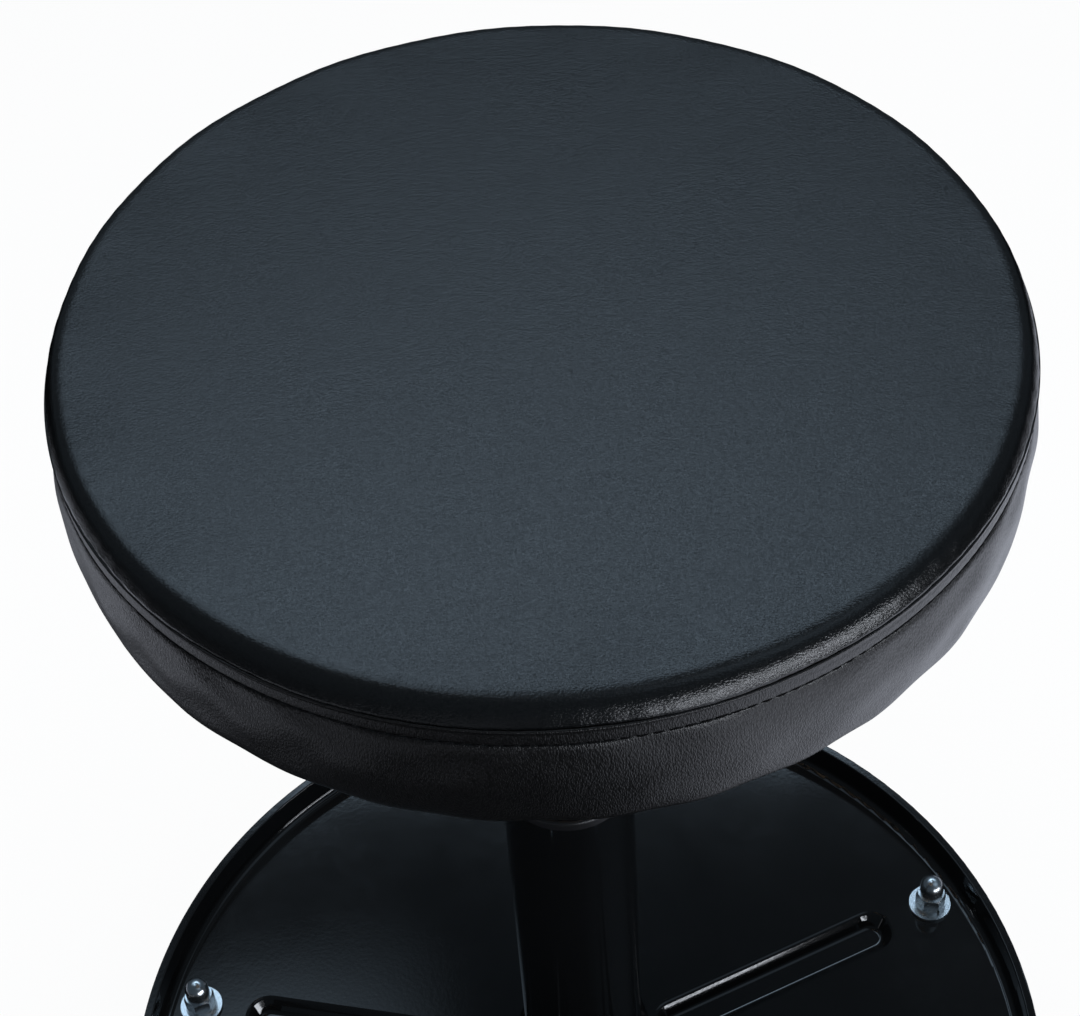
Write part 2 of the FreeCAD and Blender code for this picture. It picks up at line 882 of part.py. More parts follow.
def caster_hub():
    """Moulded wheel centre with a boss, a web and a rim."""
    bore = axle_radius + slide_clearance
    boss = hub_length / 2
    web = web_thickness / 2
    rim = wheel_width / 2
    rim_inner = rim_radius - rim_thickness
    upper = [
        (bore, boss, 0),
        (hub_radius, boss, hub_edge),
        (hub_radius, web, hub_edge),
        (rim_inner, web, hub_edge),
        (rim_inner, rim, 0),
        (rim_radius, rim, 0),
    ]
    return on_axle(spin(upper + [(radius, -height, edge) for radius, height, edge in upper[::-1]]))


def caster_tread():
    """Rubber tyre with rounded shoulders."""
    return on_axle(ring(rim_radius, wheel_radius, -wheel_width / 2, wheel_width / 2, wheel_edge))


def caster_nodes():
    """Pieces of every caster by node name."""
    pieces = {
        "fork": caster_fork(),
        "axle": caster_axle(),
        "hub": caster_hub(),
        "tread": caster_tread(),
    }
    nodes = {}
    for piece, shape in pieces.items():
        for index, copy in enumerate(round_the_column(shape)):
            nodes[f"caster_{index + 1}_{piece}"] = copy
    return nodes


nodes = {
    "seat_top_panel": seat_top_panel(),
    "seat_side_band": seat_side_band(),
    "seat_foam": seat_foam(),
    "seat_board": seat_board(),
    "seat_tee_nuts": seat_tee_nuts(),
    "seat_bolts": seat_bolts(),
    "seat_plate": seat_plate(),
    "taper_socket": taper_socket(),
    "lever_pivot": lever_pivot(),
    "release_lever": release_lever(),
    "lever_grip": lever_grip(),
    "release_pin": release_pin(),
    "gas_cylinder": gas_cylinder(),
    "rod_gland": rod_gland(),
    "piston_rod": piston_rod(),
    "piston": piston(),
    "piston_seal": piston_seal(),
    "upper_race": upper_race(),
    "lower_race": lower_race(),
    "thrust_balls": thrust_balls(),
    "bottom_bumper": bottom_bumper(),
    "clip_washer": clip_washer(),
    "retaining_clip": retaining_clip(),
    "column_tube": column_tube(),
    "column_weld": column_weld_bead(),
    "column_foot": column_foot(),
    "guide_bush": guide_bush(),
    "tray_pan": tray_pan(),
    "caster_stems": caster_stems(),
    "caster_washers": caster_washers(),
    "caster_lock_washers": caster_lock_washers(),
    "caster_acorn_nuts": caster_acorn_nuts(),
    "caster_swivel_balls": caster_swivel_balls(),
}
nodes.update(caster_nodes())

os.makedirs("parts", exist_ok=True)
for name, shape in nodes.items():
    shape.exportStep(f"parts/{name}.step")
    solids = len(shape.Solids)
    print(f"{name}: {solids} solid(s), {shape.Volume:.0f} mm3, valid {shape.isValid()}")
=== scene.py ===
"""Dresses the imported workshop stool: sewn seat, painted base, plated fasteners, and a white studio."""
import logging
import math
from dataclasses import dataclass, field
from enum import Enum
from functools import reduce

import bpy
import numpy as np
from mathutils import Matrix, Vector


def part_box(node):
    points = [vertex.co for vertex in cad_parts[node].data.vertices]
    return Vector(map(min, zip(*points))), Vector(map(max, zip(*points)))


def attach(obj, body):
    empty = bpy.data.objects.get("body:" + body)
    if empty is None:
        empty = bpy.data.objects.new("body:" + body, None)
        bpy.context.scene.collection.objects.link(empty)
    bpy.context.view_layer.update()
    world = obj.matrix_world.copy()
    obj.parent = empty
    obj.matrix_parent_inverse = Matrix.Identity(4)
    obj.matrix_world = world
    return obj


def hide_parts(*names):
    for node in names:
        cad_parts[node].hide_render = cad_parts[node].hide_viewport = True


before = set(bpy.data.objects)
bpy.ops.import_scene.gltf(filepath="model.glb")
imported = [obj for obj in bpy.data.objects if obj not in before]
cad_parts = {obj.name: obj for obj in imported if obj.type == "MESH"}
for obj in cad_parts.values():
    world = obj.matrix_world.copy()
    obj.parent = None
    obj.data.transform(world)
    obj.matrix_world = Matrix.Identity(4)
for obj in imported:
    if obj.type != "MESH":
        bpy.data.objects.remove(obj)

LOG = logging.getLogger("stool")
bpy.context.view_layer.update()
MM = 0.001
TURN = 2.0 * math.pi
TINY = 1e-12
WHITE = (1.0, 1.0, 1.0)
Colour = tuple[float, float, float]
Place = tuple[float, float, float]
Path = tuple[tuple[float, float], ...]
Span = tuple[float, float, float, float]
Texture = tuple[float, float, float]
Array = np.ndarray
Socket = bpy.types.NodeSocket
Inputs = dict[str | int, object]
Sockets = bpy.types.bpy_prop_collection


class Coords(Enum):
    """Where a pattern takes its coordinates from."""

    OBJECT = "Object"
    UV = "UV"


class Cells(Enum):
    """How the cells of a Voronoi texture meet."""

    SOFT = "SMOOTH_F1"
    SHARP = "F1"


class Axis(Enum):
    """Direction in the studio, by the output that carries it."""

    SIDE = "X"
    DEPTH = "Y"
    HEIGHT = "Z"


# Shapes

def spline(points: list[tuple[float, float]], count: int) -> Array:
    """Smooth curve through points: a Catmull-Rom cubic per span, sampled evenly along the point index.

    Args:
        points: (radius, height) pairs that the curve passes through.
        count: number of samples.

    Returns:
        Array of shape (count, 2).
    """
    knots = np.array(points, dtype=float)
    padded = np.vstack([2 * knots[0] - knots[1], knots, 2 * knots[-1] - knots[-2]])
    place = np.linspace(0, len(knots) - 1, count)
    span = np.minimum(place.astype(int), len(knots) - 2)
    t = (place - span)[:, None]
    a, b, c, d = (padded[span + shift] for shift in range(4))
    return 0.5 * (2 * b + (c - a) * t + (2 * a - 5 * b + 4 * c - d) * t**2 + (3 * b - a - 3 * c + d) * t**3)


def even(curve: Array, count: int) -> Array:
    """Resamples a curve at even steps of arc length.

    Args:
        curve: array of shape (n, 2).
        count: number of samples.

    Returns:
        Array of shape (count, 2).
    """
    steps = np.linalg.norm(np.diff(curve, axis=0), axis=1)
    length = np.concatenate([[0.0], np.cumsum(steps)])
    places = np.linspace(0, length[-1], count)
    return np.stack([np.interp(places, length, curve[:, axis]) for axis in (0, 1)], axis=1)


def lathe(profile: Array, angles: Array) -> Array:
    """Carries a (radius, height) profile round the Z axis.

    Args:
        profile: array of shape (rows, 2), or (rows, columns, 2) where it changes with the angle.
        angles: array of shape (columns,).

    Returns:
        Grid of points of shape (rows, columns, 3).
    """
    rows = profile if profile.ndim == 3 else np.repeat(profile[:, None, :], len(angles), axis=1)
    radius, height = rows[..., 0], rows[..., 1]
    return np.stack([radius * np.cos(angles), radius * np.sin(angles), height], axis=-1)


def grid_normals(grid: Array) -> Array:
    """Unit normals of a grid that closes round its columns: the cross product of its two tangents.

    Args:
        grid: points of shape (rows, columns, 3).

    Returns:
        Array of the same shape.
    """
    along = np.gradient(grid, axis=0)
    around = np.roll(grid, -1, axis=1) - np.roll(grid, 1, axis=1)
    normal = np.cross(along, around)
    return normal / np.maximum(np.linalg.norm(normal, axis=-1, keepdims=True), TINY)


def bspline_weights(samples: Array, knots: int, closed: bool) -> Array:
    """Cubic B-spline weights that carry values at knots to samples.

    Args:
        samples: places from 0 to knots (closed) or knots - 1 (open).
        knots: number of knots.
        closed: whether the last knot meets the first.

    Returns:
        Matrix of shape (samples, knots).
    """
    base = np.floor(samples).astype(int)
    t = samples - base
    cubics = [(1 - t) ** 3, 3 * t**3 - 6 * t**2 + 4, -3 * t**3 + 3 * t**2 + 3 * t + 1, t**3]
    shares = np.stack(cubics, axis=1) / 6
    index = base[:, None] + np.arange(-1, 3)
    index = index % knots if closed else np.clip(index, 0, knots - 1)
    weights = np.zeros((len(samples), knots))
    np.add.at(weights, (np.arange(len(samples))[:, None], index), shares)
    return weights


def moved(path: Path, radius: float, level: float) -> list[tuple[float, float]]:
    """Points of a path in millimetres, out from a radius and up from a level."""
    return [(radius + out * MM, level + up * MM) for out, up in path]


def link(name: str, data: bpy.types.ID) -> bpy.types.Object:
    """Puts a mesh, a light or a camera into the scene at the origin.

    Args:
        name: name of the object.
        data: what it holds.

    Returns:
        The new object.
    """
    item = bpy.data.objects.new(name, data)
    bpy.context.scene.collection.objects.link(item)
    return item


def surface(name: str, grid: Array, closed: bool = True) -> bpy.types.Object:
    """Mesh object from a grid of points, with UV in metres along the columns and down the rows.

    A first or last row whose points coincide becomes one pole vertex.

    Args:
        name: name of the piece.
        grid: points of shape (rows, columns, 3).
        closed: whether the columns close into a ring.

    Returns:
        The new object, at the origin.
    """
    rows, columns, _ = grid.shape
    number = np.arange(rows * columns).reshape(rows, columns)
    used = np.ones(rows * columns, dtype=bool)
    for row in (0, rows - 1):
        if np.ptp(grid[row], axis=0).max() < TINY:
            used[number[row, 1:]] = False
            number[row] = number[row, 0]
    order = np.cumsum(used) - 1
    number = order[number]
    ring = np.concatenate([number, number[:, :1]], axis=1) if closed else number
    looped = np.concatenate([grid, grid[:, :1]], axis=1) if closed else grid
    widest = looped[np.argmax(np.linalg.norm(np.diff(looped, axis=1), axis=2).sum(axis=1))]
    u = np.concatenate([[0.0], np.cumsum(np.linalg.norm(np.diff(widest, axis=0), axis=1))])
    v = np.concatenate([[0.0], np.cumsum(np.linalg.norm(np.diff(looped[:, 0], axis=0), axis=1))])
    corners = np.stack([ring[:-1, :-1], ring[1:, :-1], ring[1:, 1:], ring[:-1, 1:]], axis=-1).reshape(-1, 4)
    uv = np.stack(np.broadcast_arrays(u[None, :], v[:, None]), axis=-1)
    corner_uv = np.stack([uv[:-1, :-1], uv[1:, :-1], uv[1:, 1:], uv[:-1, 1:]], axis=2).reshape(-1, 4, 2)
    top = corners[:, 0] == corners[:, 3]
    bottom = corners[:, 1] == corners[:, 2]
    plain = ~(top | bottom)
    faces = corners[plain].tolist() + corners[top][:, :3].tolist() + corners[bottom][:, [0, 1, 3]].tolist()
    parts = [corner_uv[plain].reshape(-1, 2), corner_uv[top][:, :3].reshape(-1, 2)]
    parts.append(corner_uv[bottom][:, [0, 1, 3]].reshape(-1, 2))
    mesh = bpy.data.meshes.new(name)
    mesh.from_pydata(grid.reshape(-1, 3)[used], [], faces, shade_flat=False)
    mesh.uv_layers.new(name="UVMap").data.foreach_set("uv", np.concatenate(parts).ravel())
    return link(name, mesh)


def copies(name: str, grid: Array, places: Array) -> bpy.types.Object:
    """One mesh of many copies of a small closed tube.

    Args:
        name: name of the piece.
        grid: points of one copy, of shape (rows, columns, 3), with columns that close.
        places: one 4 by 4 matrix per copy, of shape (count, 4, 4).

    Returns:
        The new object, at the origin.
    """
    rows, columns, _ = grid.shape
    flat = np.concatenate([grid.reshape(-1, 3), np.ones((rows * columns, 1))], axis=1)
    points = np.einsum("nij,kj->nki", places, flat)[..., :3].reshape(-1, 3)
    number = np.arange(rows * columns).reshape(rows, columns)
    after = np.roll(number, -1, axis=1)
    sides = np.stack([number[:-1], number[1:], after[1:], after[:-1]], axis=-1).reshape(-1, 4)
    shift = np.arange(len(places))[:, None, None] * rows * columns
    quads = (sides[None] + shift).reshape(-1, 4).tolist()
    caps = np.stack([number[0], number[-1, ::-1]])
    ends = (caps[None] + shift).reshape(-1, columns).tolist()
    mesh = bpy.data.meshes.new(name)
    mesh.from_pydata(points, [], quads + ends, shade_flat=False)
    return link(name, mesh)


@dataclass(frozen=True)
class Ripple:
    """Soft unevenness of a skin, by the fewest and most waves round the axis and the most across it."""

    depth: float
    turns: tuple[int, int]
    rise: float
    count: int
    seed: int

    def heights(self, angles: Array, across: Array) -> Array:
        """Sum of cosines with whole numbers of waves round the axis, random slants and random phases.

        Args:
            angles: angles of the columns.
            across: position of the rows, from 0 to 1.

        Returns:
            Array of shape (rows, columns) whose typical height is the ripple's depth.
        """
        rng = np.random.default_rng(self.seed)
        around = rng.integers(self.turns[0], self.turns[1] + 1, self.count)
        slant = rng.uniform(-self.rise, self.rise, self.count) * TURN
        phase = rng.uniform(0, TURN, self.count)
        wave = np.cos(across[:, None, None] * slant + angles[None, :, None] * around + phase)
        return self.depth * (wave.sum(axis=-1) * math.sqrt(2.0 / self.count))


# Shader graphs

def scaled(colour: Colour, factor: float) -> Colour:
    """Colour times a factor."""
    return tuple(factor * value for value in colour)


@dataclass(frozen=True)
class Ramp:
    """Straight change of a value between two places along an axis, level outside them."""

    axis: Axis
    start: float
    end: float
    before: float
    after: float


class Graph:
    """Adds and links nodes of one node tree."""

    def __init__(self, tree: bpy.types.NodeTree) -> None:
        """Keeps the tree that nodes are added to."""
        self.tree = tree

    def feed(self, target: Socket, value: object) -> None:
        """Links a socket to a target, or sets a plain value on it.

        Args:
            target: input that is fed.
            value: socket or plain value; a plain colour needs no alpha.
        """
        if isinstance(value, Socket):
            self.tree.links.new(value, target)
        elif target.type == "RGBA":
            target.default_value = (*value, 1.0)
        else:
            target.default_value = value

    def add(self, kind: str, inputs: Inputs | None = None, **settings: object) -> bpy.types.Node:
        """Adds a node, sets its properties and feeds its inputs.

        Args:
            kind: Blender's type name of the node.
            inputs: sockets or plain values by the name or number of the input that takes them.
            **settings: properties of the node.

        Returns:
            The new node.
        """
        node = self.tree.nodes.new(kind)
        for key, value in settings.items():
            setattr(node, key, value)
        for key, value in (inputs or {}).items():
            self.feed(node.inputs[key], value)
        return node

    def math(self, operation: str, first: object, second: object) -> Socket:
        """Result of a Math node with two inputs."""
        return self.add("ShaderNodeMath", {0: first, 1: second}, operation=operation).outputs[0]

    def product(self, *values: object) -> Socket:
        """Product of several sockets or numbers."""
        return reduce(lambda total, value: self.math("MULTIPLY", total, value), values)

    def remap(self, value: object, low: float, high: float, to_low: object, to_high: object) -> Socket:
        """Value carried from the range of low to high to that of to_low to to_high, and held at its ends."""
        inputs = dict(enumerate((value, low, high, to_low, to_high)))
        return self.add("ShaderNodeMapRange", inputs, clamp=True).outputs[0]

    def ramps(self, place: bpy.types.Node, *ramps: Ramp) -> Socket:
        """Product of ramps over a place or direction.

        Args:
            place: node that separates it into its axes.
            *ramps: the ramps.

        Returns:
            Socket of the product.
        """
        return self.product(*(
            self.remap(place.outputs[ramp.axis.value], ramp.start, ramp.end, ramp.before, ramp.after)
            for ramp in ramps))

    def noise(self, vector: object, scale: object, detail: float, roughness: float = 0.5) -> Socket:
        """Value of a Noise texture, by its waves per metre and its finer layers."""
        inputs = {"Vector": vector, "Scale": scale, "Detail": detail, "Roughness": roughness}
        return self.add("ShaderNodeTexNoise", inputs).outputs[0]

    def cells(self, vector: object, scale: object, feature: Cells, **softness: float) -> Socket:
        """Distance to the nearest point of a Voronoi texture, by its cells per metre."""
        inputs = {"Vector": vector, "Scale": scale, **softness}
        return self.add("ShaderNodeTexVoronoi", inputs, feature=feature.value).outputs["Distance"]

    def mix(self, share: object, first: object, second: object) -> Socket:
        """Mix of two colours by the share of the second."""
        return self.add("ShaderNodeMix", {"Factor": share, 6: first, 7: second}, data_type="RGBA").outputs[2]

    def blend(self, share: object, first: Socket, second: Socket) -> Socket:
        """Mix of two shaders by the share of the second."""
        return self.add("ShaderNodeMixShader", {0: share, 1: first, 2: second}).outputs[0]


@dataclass
class Effects:
    """Shared surface effects, each a node group that is built once."""

    # A Span is a start, an end and the results there; a Texture is a scale, a detail and a roughness.
    cell_blend: float = 0.35
    cell_dome: Span = (0.1, 0.75, 1.0, 0.0)
    cell_crease: Span = (0.45, 0.8, 0.0, 1.0)
    speck_ratio: float = 2.3
    speck_dome: Span = (0.1, 0.8, 0.35, 0.0)
    uneven_detail: float = 2.0
    uneven_share: float = 0.5
    wave_detail: float = 1.0
    slow_ratio: float = 0.25
    slow_share: float = 0.6
    cloud: Texture = (9.0, 4.0, 0.6)
    cloud_span: Span = (0.35, 0.7, 0.0, 1.0)
    streak: Texture = (160.0, 3.0, 0.7)
    streak_span: Span = (0.3, 0.7, 0.4, 1.0)
    pebble: bpy.types.NodeTree = field(init=False)
    peel: bpy.types.NodeTree = field(init=False)
    rub: bpy.types.NodeTree = field(init=False)

    def __post_init__(self) -> None:
        """Builds the groups."""
        self.pebble = self._pebble()
        self.peel = self._peel()
        self.rub = self._rub()

    @staticmethod
    def _group(name: str, inputs: list[str], outputs: list[str]) -> tuple[Graph, Sockets, Sockets]:
        """Empty group that takes coordinates and numbers and gives numbers.

        Args:
            name: name of the group.
            inputs: names of the numbers that it takes, beside its Vector.
            outputs: names of the numbers that it gives.

        Returns:
            The group's graph, the sockets that it is given and the sockets of its results.
        """
        tree = bpy.data.node_groups.new(name, "ShaderNodeTree")
        tree.interface.new_socket(name="Vector", in_out="INPUT", socket_type="NodeSocketVector")
        for direction, names in (("INPUT", inputs), ("OUTPUT", outputs)):
            for socket in names:
                tree.interface.new_socket(name=socket, in_out=direction, socket_type="NodeSocketFloat")
        graph = Graph(tree)
        return graph, graph.add("NodeGroupInput").outputs, graph.add("NodeGroupOutput").inputs

    def _pebble(self) -> bpy.types.NodeTree:
        """Embossed leather grain: rounded cells of two sizes with soft creases between them.

        Returns:
            The group, which gives a Height and a Crease mask.
        """
        graph, given, result = self._group("Pebble grain", ["Scale"], ["Height", "Crease"])
        vector, scale = given["Vector"], given["Scale"]
        cells = graph.cells(vector, scale, Cells.SOFT, Smoothness=self.cell_blend)
        specks = graph.cells(vector, graph.math("MULTIPLY", scale, self.speck_ratio), Cells.SHARP)
        uneven = graph.math("MULTIPLY", graph.noise(vector, scale, self.uneven_detail), self.uneven_share)
        domes = graph.math("ADD", graph.remap(cells, *self.cell_dome), graph.remap(specks, *self.speck_dome))
        graph.feed(result["Height"], graph.math("ADD", domes, uneven))
        graph.feed(result["Crease"], graph.remap(cells, *self.cell_crease))
        return graph.tree

    def _peel(self) -> bpy.types.NodeTree:
        """Orange peel of sprayed paint: low rounded waves of two sizes.

        Returns:
            The group, which gives a Height.
        """
        graph, given, result = self._group("Orange peel", ["Scale"], ["Height"])
        vector, scale = given["Vector"], given["Scale"]
        wave = graph.noise(vector, scale, self.wave_detail)
        slow = graph.noise(vector, graph.math("MULTIPLY", scale, self.slow_ratio), 0.0)
        graph.feed(result["Height"], graph.math("ADD", wave, graph.math("MULTIPLY", slow, self.slow_share)))
        return graph.tree

    def _rub(self) -> bpy.types.NodeTree:
        """Handling marks: cloudy patches times fine streaks, between two values.

        Returns:
            The group, which gives a Value between Clean and Marked, and the Mask of the marks.
        """
        graph, given, result = self._group("Handling marks", ["Clean", "Marked"], ["Value", "Mask"])
        cloud = graph.remap(graph.noise(given["Vector"], *self.cloud), *self.cloud_span)
        streak = graph.remap(graph.noise(given["Vector"], *self.streak), *self.streak_span)
        mask = graph.math("MULTIPLY", cloud, streak)
        graph.feed(result["Value"], graph.remap(mask, 0.0, 1.0, given["Clean"], given["Marked"]))
        graph.feed(result["Mask"], mask)
        return graph.tree


class Shaded:
    """A new material with its Principled shader, its coordinates and helpers for shared effects."""

    def __init__(self, name: str, coords: Coords = Coords.OBJECT, stretch: Place = (1.0, 1.0, 1.0)) -> None:
        """Makes the material and its coordinates.

        Args:
            name: name of the material.
            coords: source of the pattern's coordinates.
            stretch: scale of the pattern along each axis.
        """
        self.material = bpy.data.materials.new(name)
        self.material.use_nodes = True
        self.graph = Graph(self.material.node_tree)
        self.shader = self.material.node_tree.nodes["Principled BSDF"]
        source = self.graph.add("ShaderNodeTexCoord")
        inputs = {"Vector": source.outputs[coords.value], "Scale": stretch}
        self.vector = self.graph.add("ShaderNodeMapping", inputs).outputs["Vector"]

    def effect(self, group: bpy.types.NodeTree, **values: float) -> Sockets:
        """Places a shared effect with its plain inputs, and gives its outputs."""
        return self.graph.add("ShaderNodeGroup", {"Vector": self.vector, **values}, node_tree=group).outputs

    def set(self, **sockets: object) -> None:
        """Feeds sockets of the shader.

        Args:
            **sockets: value of each socket, with spaces in its name written as underscores.
        """
        for key, value in sockets.items():
            self.graph.feed(self.shader.inputs[key.replace("_", " ")], value)

    def bump(self, *layers: tuple[object, float]) -> None:
        """Chains bump layers into the shader's normal.

        Args:
            *layers: (height socket, distance in metres) pairs.
        """
        normal = None
        for height, distance in layers:
            inputs = {"Strength": 1.0, "Distance": distance, "Height": height}
            if normal:
                inputs["Normal"] = normal
            normal = self.graph.add("ShaderNodeBump", inputs).outputs["Normal"]
        self.graph.feed(self.shader.inputs["Normal"], normal)


# Finishes

@dataclass(frozen=True)
class Vinyl:
    """Grained upholstery vinyl."""

    name: str
    colour: Colour
    crease_shade: Colour
    roughness: float
    worn: float
    grain: float
    grain_depth: float
    dimple_depth: float
    coords: Coords = Coords.OBJECT
    stretch: Place = (1.0, 1.0, 1.0)
    dimples: float = 38.0
    dimple_detail: float = 2.0
    lacquer: float = 0.18
    gloss: float = 0.43

    def material(self, effects: Effects) -> bpy.types.Material:
        """Builds the finish: painted shade in the grain's creases, uneven sheen, lacquered domes and
        embossed grain.

        Args:
            effects: the shared effects.

        Returns:
            The new material.
        """
        look = Shaded(self.name, self.coords, self.stretch)
        pebble = look.effect(effects.pebble, Scale=self.grain)
        rub = look.effect(effects.rub, Clean=self.roughness, Marked=self.worn)
        # Painted shade: the grain's creases take a darker colour.
        colour = look.graph.mix(pebble["Crease"], self.colour, self.crease_shade)
        lacquer = look.graph.remap(pebble["Crease"], 0.0, 1.0, self.lacquer, 0.0)
        look.set(Base_Color=colour, Roughness=rub["Value"], Specular_IOR_Level=self.gloss)
        look.set(Coat_Weight=lacquer, Coat_Roughness=self.roughness)
        dimples = look.graph.noise(look.vector, self.dimples, self.dimple_detail)
        look.bump((dimples, self.dimple_depth), (pebble["Height"], self.grain_depth))
        return look.material


@dataclass(frozen=True)
class Paint:
    """Sprayed black paint on steel."""

    name: str
    colour: Colour
    roughness: float
    marked: float
    peel: float
    peel_depth: float
    coat: float
    coat_roughness: float = 0.03
    paler: float = 1.35

    def material(self, effects: Effects) -> bpy.types.Material:
        """Builds the finish: orange peel under a gloss with faint marks.

        Args:
            effects: the shared effects.

        Returns:
            The new material.
        """
        look = Shaded(self.name)
        peel = look.effect(effects.peel, Scale=self.peel)
        rub = look.effect(effects.rub, Clean=self.roughness, Marked=self.marked)
        colour = look.graph.mix(rub["Mask"], self.colour, scaled(self.colour, self.paler))
        look.set(Base_Color=colour, Roughness=rub["Value"])
        look.set(Coat_Weight=self.coat, Coat_Roughness=self.coat_roughness)
        look.bump((peel["Height"], self.peel_depth))
        return look.material


@dataclass(frozen=True)
class Plated:
    """Bright plated or bare steel."""

    name: str
    colour: Colour
    tarnish: Colour
    roughness: float
    marked: float
    drawing: Texture = (900.0, 3.0, 0.7)
    drawing_depth: float = 0.02 * MM

    def material(self, effects: Effects) -> bpy.types.Material:
        """Builds the finish: metal with cloudy passivation and fine drawing marks.

        Args:
            effects: the shared effects.

        Returns:
            The new material.
        """
        look = Shaded(self.name)
        rub = look.effect(effects.rub, Clean=self.roughness, Marked=self.marked)
        colour = look.graph.mix(rub["Mask"], self.colour, self.tarnish)
        look.set(Base_Color=colour, Metallic=1.0, Roughness=rub["Value"])
        look.bump((look.graph.noise(look.vector, *self.drawing), self.drawing_depth))
        return look.material


@dataclass(frozen=True)
class Moulded:
    """Moulded plastic, rubber or spun thread."""

    name: str
    colour: Colour
    roughness: float
    marked: float
    texture: float
    texture_depth: float
    gloss: float = 0.5
    texture_detail: float = 2.0
    paler: float = 1.5

    def material(self, effects: Effects) -> bpy.types.Material:
        """Builds the finish: fine spark texture and scuffed sheen.

        Args:
            effects: the shared effects.

        Returns:
            The new material.
        """
        look = Shaded(self.name)
        rub = look.effect(effects.rub, Clean=self.roughness, Marked=self.marked)
        colour = look.graph.mix(rub["Mask"], self.colour, scaled(self.colour, self.paler))
        look.set(Base_Color=colour, Roughness=rub["Value"], Specular_IOR_Level=self.gloss)
        look.bump((look.graph.noise(look.vector, self.texture, self.texture_detail), self.texture_depth))
        return look.material


@dataclass(frozen=True)
class Plywood:
    """Face veneer of the seat board."""

    name: str
    pale: Colour
    dark: Colour
    roughness: float
    marked: float
    stretch: Place = (1.0, 14.0, 14.0)
    bands: Texture = (7.0, 5.0, 0.6)
    band_span: Span = (0.3, 0.7, 0.0, 1.0)
    pores: float = 120.0
    pore_detail: float = 2.0
    pore_depth: float = 0.1 * MM

    def material(self, effects: Effects) -> bpy.types.Material:
        """Builds the finish: long grain bands with fine pores.

        Args:
            effects: the shared effects.

        Returns:
            The new material.
        """
        look = Shaded(self.name, stretch=self.stretch)
        bands = look.graph.remap(look.graph.noise(look.vector, *self.bands), *self.band_span)
        rub = look.effect(effects.rub, Clean=self.roughness, Marked=self.marked)
        look.set(Base_Color=look.graph.mix(bands, self.pale, self.dark), Roughness=rub["Value"])
        look.bump((look.graph.noise(look.vector, self.pores, self.pore_detail), self.pore_depth))
        return look.material


Finish = Vinyl | Paint | Plated | Moulded | Plywood
# The second colour of each vinyl is painted shade in the creases of its grain.
TOP_VINYL = Vinyl(
    "top vinyl", (0.004, 0.0045, 0.005), (0.003, 0.0035, 0.004), roughness=0.2, worn=0.24,
    grain=1450.0, grain_depth=0.06 * MM, dimple_depth=0.05 * MM, stretch=(0.65, 1.0, 1.0))
BAND_VINYL = Vinyl(
    "band vinyl", (0.005, 0.0048, 0.005), (0.003, 0.003, 0.003), roughness=0.3, worn=0.36,
    grain=1800.0, grain_depth=0.1 * MM, dimple_depth=0.2 * MM, coords=Coords.UV, stretch=(1.0, 0.4, 1.0))
GLOSS_BLACK = Paint(
    "gloss black paint", (0.004, 0.0042, 0.0045), roughness=0.06, marked=0.1,
    peel=420.0, peel_depth=0.008 * MM, coat=0.0)
SATIN_BLACK = Paint(
    "satin black paint", (0.010, 0.010, 0.011), roughness=0.28, marked=0.4,
    peel=700.0, peel_depth=0.05 * MM, coat=0.1)
ZINC = Plated("bright zinc", (0.72, 0.76, 0.80), (0.58, 0.60, 0.60), roughness=0.2, marked=0.34)
STEEL = Plated("ground steel", (0.60, 0.60, 0.61), (0.5, 0.49, 0.47), roughness=0.16, marked=0.28)
BLACK_PLASTIC = Moulded(
    "black plastic", (0.010, 0.010, 0.011), roughness=0.28, marked=0.42,
    texture=1400.0, texture_depth=0.03 * MM)
GREY_PLASTIC = Moulded(
    "grey plastic", (0.09, 0.09, 0.095), roughness=0.4, marked=0.55,
    texture=1400.0, texture_depth=0.04 * MM)
RUBBER = Moulded(
    "black rubber", (0.014, 0.014, 0.014), roughness=0.6, marked=0.75,
    texture=900.0, texture_depth=0.06 * MM)
THREAD = Moulded(
    "black thread", (0.004, 0.004, 0.0045), roughness=0.7, marked=0.8,
    texture=2600.0, texture_depth=0.12 * MM, gloss=0.08)
VENEER = Plywood("plywood veneer", (0.52, 0.36, 0.21), (0.36, 0.22, 0.12), roughness=0.62, marked=0.75)


class Palette:
    """Materials of the stool, each built once."""

    def __init__(self) -> None:
        """Builds the shared effects."""
        self.effects = Effects()
        self.made: dict[str, bpy.types.Material] = {}

    def get(self, finish: Finish) -> bpy.types.Material:
        """The finish's material, built at its first use.

        Args:
            finish: the finish.

        Returns:
            Its material.
        """
        if finish.name not in self.made:
            self.made[finish.name] = finish.material(self.effects)
        return self.made[finish.name]

    def dress(self, piece: bpy.types.Object, finish: Finish) -> None:
        """Gives a piece one finish all over.

        Args:
            piece: the piece.
            finish: its finish.
        """
        if not piece.material_slots:
            piece.data.materials.append(None)
        for place in piece.material_slots:
            place.material = self.get(finish)


# Sub-assemblies

